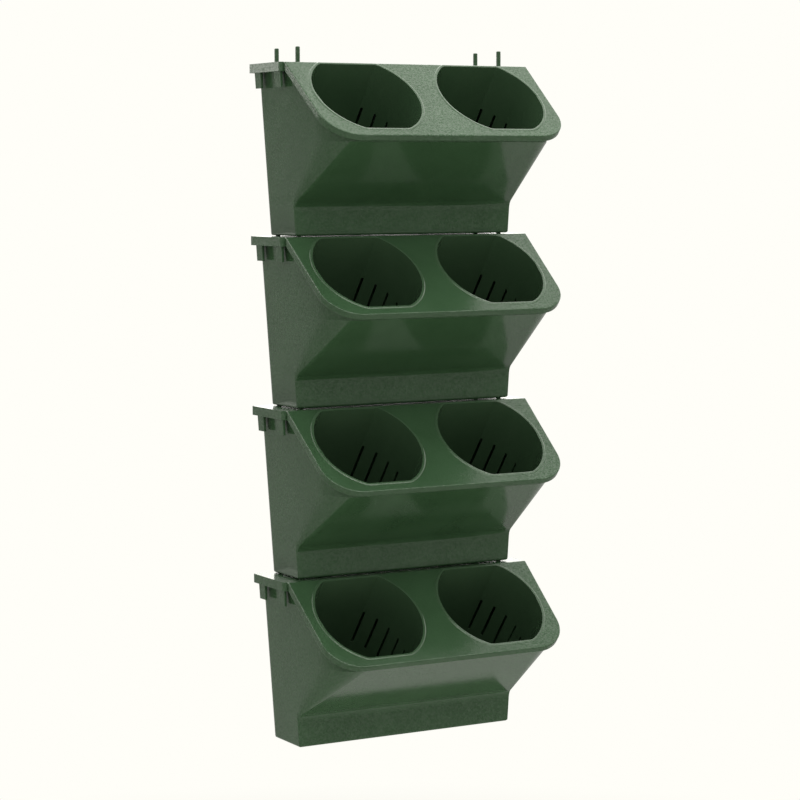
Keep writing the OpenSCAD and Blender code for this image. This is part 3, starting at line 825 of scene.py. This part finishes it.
def slot_row(tree, get):
    count = add_node(tree, "ShaderNodeMath", (get["Slot Count"], 2.0), operation="MULTIPLY")
    line = add_node(tree, "GeometryNodeMeshLine", {"Count": count})
    index = add_node(tree, "GeometryNodeInputIndex")
    last = add_node(tree, "ShaderNodeMath", (get["Slot Count"], 0.5), operation="SUBTRACT")
    left = add_node(tree, "ShaderNodeMath", (index, last), operation="GREATER_THAN")
    skipped = add_node(tree, "ShaderNodeMath", (left, get["Slot Count"]), operation="MULTIPLY")
    number = add_node(tree, "ShaderNodeMath", (index, skipped), operation="SUBTRACT")
    steps = add_node(tree, "ShaderNodeMath", (number, get["Slot Step"]), operation="MULTIPLY")
    angle = add_node(tree, "ShaderNodeMath", (get["Slot Start"], steps), operation="SUBTRACT")
    doubled = add_node(tree, "ShaderNodeMath", (left, 2.0), operation="MULTIPLY")
    sign = add_node(tree, "ShaderNodeMath", (doubled, 1.0), operation="SUBTRACT")
    half_turn = add_node(tree, "ShaderNodeMath", (left, math.pi), operation="MULTIPLY")
    signed = add_node(tree, "ShaderNodeMath", (sign, angle), operation="MULTIPLY")
    turn = add_node(tree, "ShaderNodeMath", (half_turn, signed), operation="ADD")
    cosine = add_node(tree, "ShaderNodeMath", (turn,), operation="COSINE")
    sine = add_node(tree, "ShaderNodeMath", (turn,), operation="SINE")
    x = add_node(tree, "ShaderNodeMath", (POT_A + POT_WALL / 2, cosine), operation="MULTIPLY")
    v = add_node(tree, "ShaderNodeMath", (POT_B + POT_WALL / 2, sine), operation="MULTIPLY")
    half_length = add_node(tree, "ShaderNodeMath", (get["Slot Length"], 2.0), operation="DIVIDE")
    middle = add_node(tree, "ShaderNodeMath", (get["Slot Top"], half_length), operation="ADD")
    place = add_node(tree, "ShaderNodeCombineXYZ", (x, v, middle))
    spots = add_node(tree, "GeometryNodeSetPosition", {"Geometry": line, "Position": place})
    bar = slot_bar(tree, get)
    upright = add_node(tree, "ShaderNodeCombineXYZ", {"Z": turn})
    placed = add_node(tree, "GeometryNodeInstanceOnPoints",
                      {"Points": spots, "Instance": bar, "Rotation": upright})
    return add_node(tree, "GeometryNodeRealizeInstances", (placed,))


print("slot row ready")

# %% [markdown]
# The rim is a bead swept along the mouth. Its section is a low arch: half a
# circle with its height squared, which is a parabola. The foot is sunk into the
# plate by a hundredth of the rim's height, so that it sits there without a gap.

# %% Rim bead
def rim_bead(tree, get):
    lap = add_node(tree, "ShaderNodeMath", (get["Wall"], get["Rim Lap"]), operation="ADD")
    middle = add_node(tree, "ShaderNodeMath", (lap, 2.0), operation="DIVIDE")
    path = add_node(tree, "GeometryNodeGroup", {"Grow": middle}, node_tree=mouth_outline)
    edges = add_node(tree, "GeometryNodeMeshToCurve", {"Mesh": path})
    upright = add_node(tree, "GeometryNodeSetCurveNormal", {"Curve": edges}, mode="Z_UP")
    circle = add_node(tree, "GeometryNodeCurvePrimitiveCircle", {"Resolution": 20, "Radius": 1.0})
    position = add_node(tree, "GeometryNodeInputPosition")
    where = add_node(tree, "ShaderNodeSeparateXYZ", (position,)).outputs
    across = add_node(tree, "ShaderNodeMath", (where["X"], middle), operation="MULTIPLY")
    rise = add_node(tree, "ShaderNodeMath", (where["Y"], 0.0), operation="MAXIMUM")
    squared = add_node(tree, "ShaderNodeMath", (rise, rise), operation="MULTIPLY")
    sunk = add_node(tree, "ShaderNodeMath", (squared, 0.01), operation="SUBTRACT")
    high = add_node(tree, "ShaderNodeMath", (sunk, get["Rim Height"]), operation="MULTIPLY")
    place = add_node(tree, "ShaderNodeCombineXYZ", (across, high))
    low_arch = add_node(tree, "GeometryNodeSetPosition", {"Geometry": circle, "Position": place})
    return add_node(tree, "GeometryNodeCurveToMesh",
                    {"Curve": upright, "Profile Curve": low_arch, "Fill Caps": False})


print("rim bead ready")

# %% [markdown]
# The pot's tree puts it together: two cups cut to the room, the rim bead, the
# slots, and last the move onto the sloping plate of its tier.

# %% The pot tree
def pot_tree():
    tree, get = new_tree("slotted_pot", {
        "Geometry": "Geometry", "Side Shift": POT_X, "Tier Height": 0.0, "Wall": POT_WALL,
        "Rim Lap": 1.9 * MM, "Rim Height": 0.7 * MM, "Slot Count": 6, "Slot Start": math.radians(54),
        "Slot Step": math.radians(15.3), "Slot Top": 60 * MM, "Slot Length": 52 * MM, "Slot Width": 3 * MM,
        "Room Outside": "Object", "Room Inside": "Object", "Material": "Material"})
    aside = add_node(tree, "ShaderNodeCombineXYZ", (get["Side Shift"], POT_V))
    cups = []
    for grow, start, name in ((get["Wall"], -0.5 * MM, "Room Outside"), (0.0, -8 * MM, "Room Inside")):
        ring = add_node(tree, "GeometryNodeGroup", {"Grow": grow, "Height": start}, node_tree=mouth_outline)
        cup = add_node(tree, "GeometryNodeGroup", {"Mesh": ring, "Length": 0.25}, node_tree=draw_out)
        moved = add_node(tree, "GeometryNodeTransform", {"Geometry": cup, "Translation": aside})
        limits = add_node(tree, "GeometryNodeObjectInfo", {"Object": get[name]}, transform_space="ORIGINAL")
        cups.append(add_node(tree, "GeometryNodeMeshBoolean", {"Mesh 2": [moved, limits.outputs["Geometry"]]},
                             operation="INTERSECT", solver="EXACT"))
    bead = add_node(tree, "GeometryNodeTransform", {"Geometry": rim_bead(tree, get), "Translation": aside})
    slots = add_node(tree, "GeometryNodeTransform", {"Geometry": slot_row(tree, get), "Translation": aside})
    rimmed = add_node(tree, "GeometryNodeMeshBoolean", {"Mesh 2": [cups[0], bead]},
                      operation="UNION", solver="EXACT")
    pot = add_node(tree, "GeometryNodeMeshBoolean", {"Mesh 1": rimmed, "Mesh 2": [cups[1], slots]},
                   operation="DIFFERENCE", solver="EXACT")
    deck = add_node(tree, "ShaderNodeMath", (get["Tier Height"], DECK_Z), operation="ADD")
    lift = add_node(tree, "ShaderNodeCombineXYZ", {"Y": -DECK_DEPTH, "Z": deck})
    placed = add_node(tree, "GeometryNodeTransform",
                      {"Geometry": pot, "Translation": lift, "Rotation": (math.pi + SLOPE, 0, 0)})
    real = add_node(tree, "GeometryNodeRealizeInstances", (placed,))
    dressed = add_node(tree, "GeometryNodeSetMaterial", {"Geometry": real, "Material": get["Material"]})
    add_node(tree, "NodeGroupOutput", (dressed,))
    return tree


slotted_pot = pot_tree()
print("pot nodes", len(slotted_pot.nodes))

# %% [markdown]
# A tree is used through a modifier on an empty mesh. Its inputs are set by the
# socket's identifier before the first evaluation, and the result is baked.

# %% Growing a piece from a tree, and putting a piece in its place
def grow(name, tree, values):
    seed = to_object(name + "_seed", [], [])
    engine = seed.modifiers.new("grow", "NODES")
    engine.node_group = tree
    for item in tree.interface.items_tree:
        if item.in_out == "INPUT" and item.name in values:
            engine[item.identifier] = values[item.name]
    mesh = bake(seed)
    mesh.name = name
    return mesh


def put(name, mesh, body, node, slot):
    """One finished piece: it stands for its CAD node and moves with its body."""
    piece = bpy.data.objects.new(name, mesh)
    mesh.materials.clear()
    mesh.materials.append(finish[slot])
    bpy.context.scene.collection.objects.link(piece)
    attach(piece, body)
    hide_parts(node)


def smooth_up_to(mesh, angle):
    """Shade smooth, but keep edges sharper than the angle, in degrees."""
    mesh.shade_smooth()
    mesh.set_sharp_from_angle(angle=math.radians(angle))


print("ready to grow")

# %% Pots of all tiers
for tier in TIERS:
    for side, way in (("left", -1), ("right", 1)):
        mesh = grow("pot", slotted_pot, {"Side Shift": way * POT_X, "Tier Height": tier_foot(tier),
                                         "Room Outside": room_outside, "Room Inside": room_inside,
                                         "Material": finish["pot_plastic"]})
        smooth_up_to(mesh, 28)
        put(f"pot_skin_tier{tier}_{side}", mesh, f"pot_{tier}_{side}", f"tier{tier}_pot_{side}",
            "pot_plastic")
for used in (room_outside, room_inside):
    bpy.data.objects.remove(used)
print("pots", sum(o.name.startswith("pot_skin") for o in bpy.data.objects), "faces each", len(mesh.polygons),
      "cubic centimetres", round(volume(mesh), 1))

# %% [markdown]
# ## Pegs
# Four plain rods stand on each deck. One rod is drawn in Geometry Nodes, with
# its thinner root and chamfered tip, and set on the four corners of a grid.

# %% Pegs
def peg_tree():
    tree, get = new_tree("stacking_pegs", {
        "Geometry": "Geometry", "Tier Height": 0.0, "Radius": 2.75 * MM, "Root Radius": 2.25 * MM,
        "Height": 18.5 * MM, "Root Depth": 12 * MM, "Tip": 0.6 * MM, "Material": "Material"})
    deck = add_node(tree, "ShaderNodeMath", (get["Tier Height"], DECK_Z), operation="ADD")
    centre = add_node(tree, "ShaderNodeCombineXYZ", {"Y": -(PEG_FRONT + PEG_BACK) / 2, "Z": deck})
    grid = add_node(tree, "GeometryNodeMeshGrid",
                    {"Size X": 2 * PEG_X, "Size Y": PEG_FRONT - PEG_BACK, "Vertices X": 2, "Vertices Y": 2})
    spots = add_node(tree, "GeometryNodeTransform", {"Geometry": grid, "Translation": centre})
    root = add_node(tree, "ShaderNodeMath", (get["Root Depth"], -1.0), operation="MULTIPLY")
    shoulder = add_node(tree, "ShaderNodeMath", (get["Height"], get["Tip"]), operation="SUBTRACT")
    tip_radius = add_node(tree, "ShaderNodeMath", (get["Radius"], get["Tip"]), operation="SUBTRACT")
    lengths = []
    for low, high, bottom, top in ((root, 0.0, get["Root Radius"], get["Root Radius"]),
                                   (0.0, shoulder, get["Radius"], get["Radius"]),
                                   (shoulder, get["Height"], get["Radius"], tip_radius)):
        height = add_node(tree, "ShaderNodeMath", (high, low), operation="SUBTRACT")
        cone = add_node(tree, "GeometryNodeMeshCone",
                        {"Vertices": 40, "Radius Top": top, "Radius Bottom": bottom, "Depth": height})
        start = add_node(tree, "ShaderNodeCombineXYZ", {"Z": low})
        lengths.append(add_node(tree, "GeometryNodeTransform", {"Geometry": cone, "Translation": start}))
    joined = add_node(tree, "GeometryNodeJoinGeometry", (lengths,))
    one = add_node(tree, "GeometryNodeMergeByDistance", {"Geometry": joined, "Distance": 0.01 * MM})
    placed = add_node(tree, "GeometryNodeInstanceOnPoints", {"Points": spots, "Instance": one})
    real = add_node(tree, "GeometryNodeRealizeInstances", (placed,))
    dressed = add_node(tree, "GeometryNodeSetMaterial", {"Geometry": real, "Material": get["Material"]})
    add_node(tree, "NodeGroupOutput", (dressed,))
    return tree


pegs = peg_tree()
for tier in TIERS:
    mesh = grow("pegs", pegs, {"Tier Height": tier_foot(tier), "Material": finish["peg_plastic"]})
    smooth_up_to(mesh, 30)
    put(f"peg_skin_tier{tier}", mesh, f"tier_{tier}", f"tier{tier}_pegs", "peg_plastic")
print("peg nodes", len(pegs.nodes))

# %% [markdown]
# ## Four tiers
# The tiers come from the same two moulds, so the housing and the cover are
# copied to each height. The place goes into the mesh, not into the object.

# %% Housings and covers of all tiers
for tier in TIERS:
    for kind, pattern in (("housing", housing_mesh), ("cover", cover_mesh)):
        mesh = pattern.copy()
        mesh.transform(Matrix.Translation((0, 0, tier_foot(tier))))
        put(f"{kind}_skin_tier{tier}", mesh, f"tier_{tier}", f"tier{tier}_{kind}", f"{kind}_plastic")
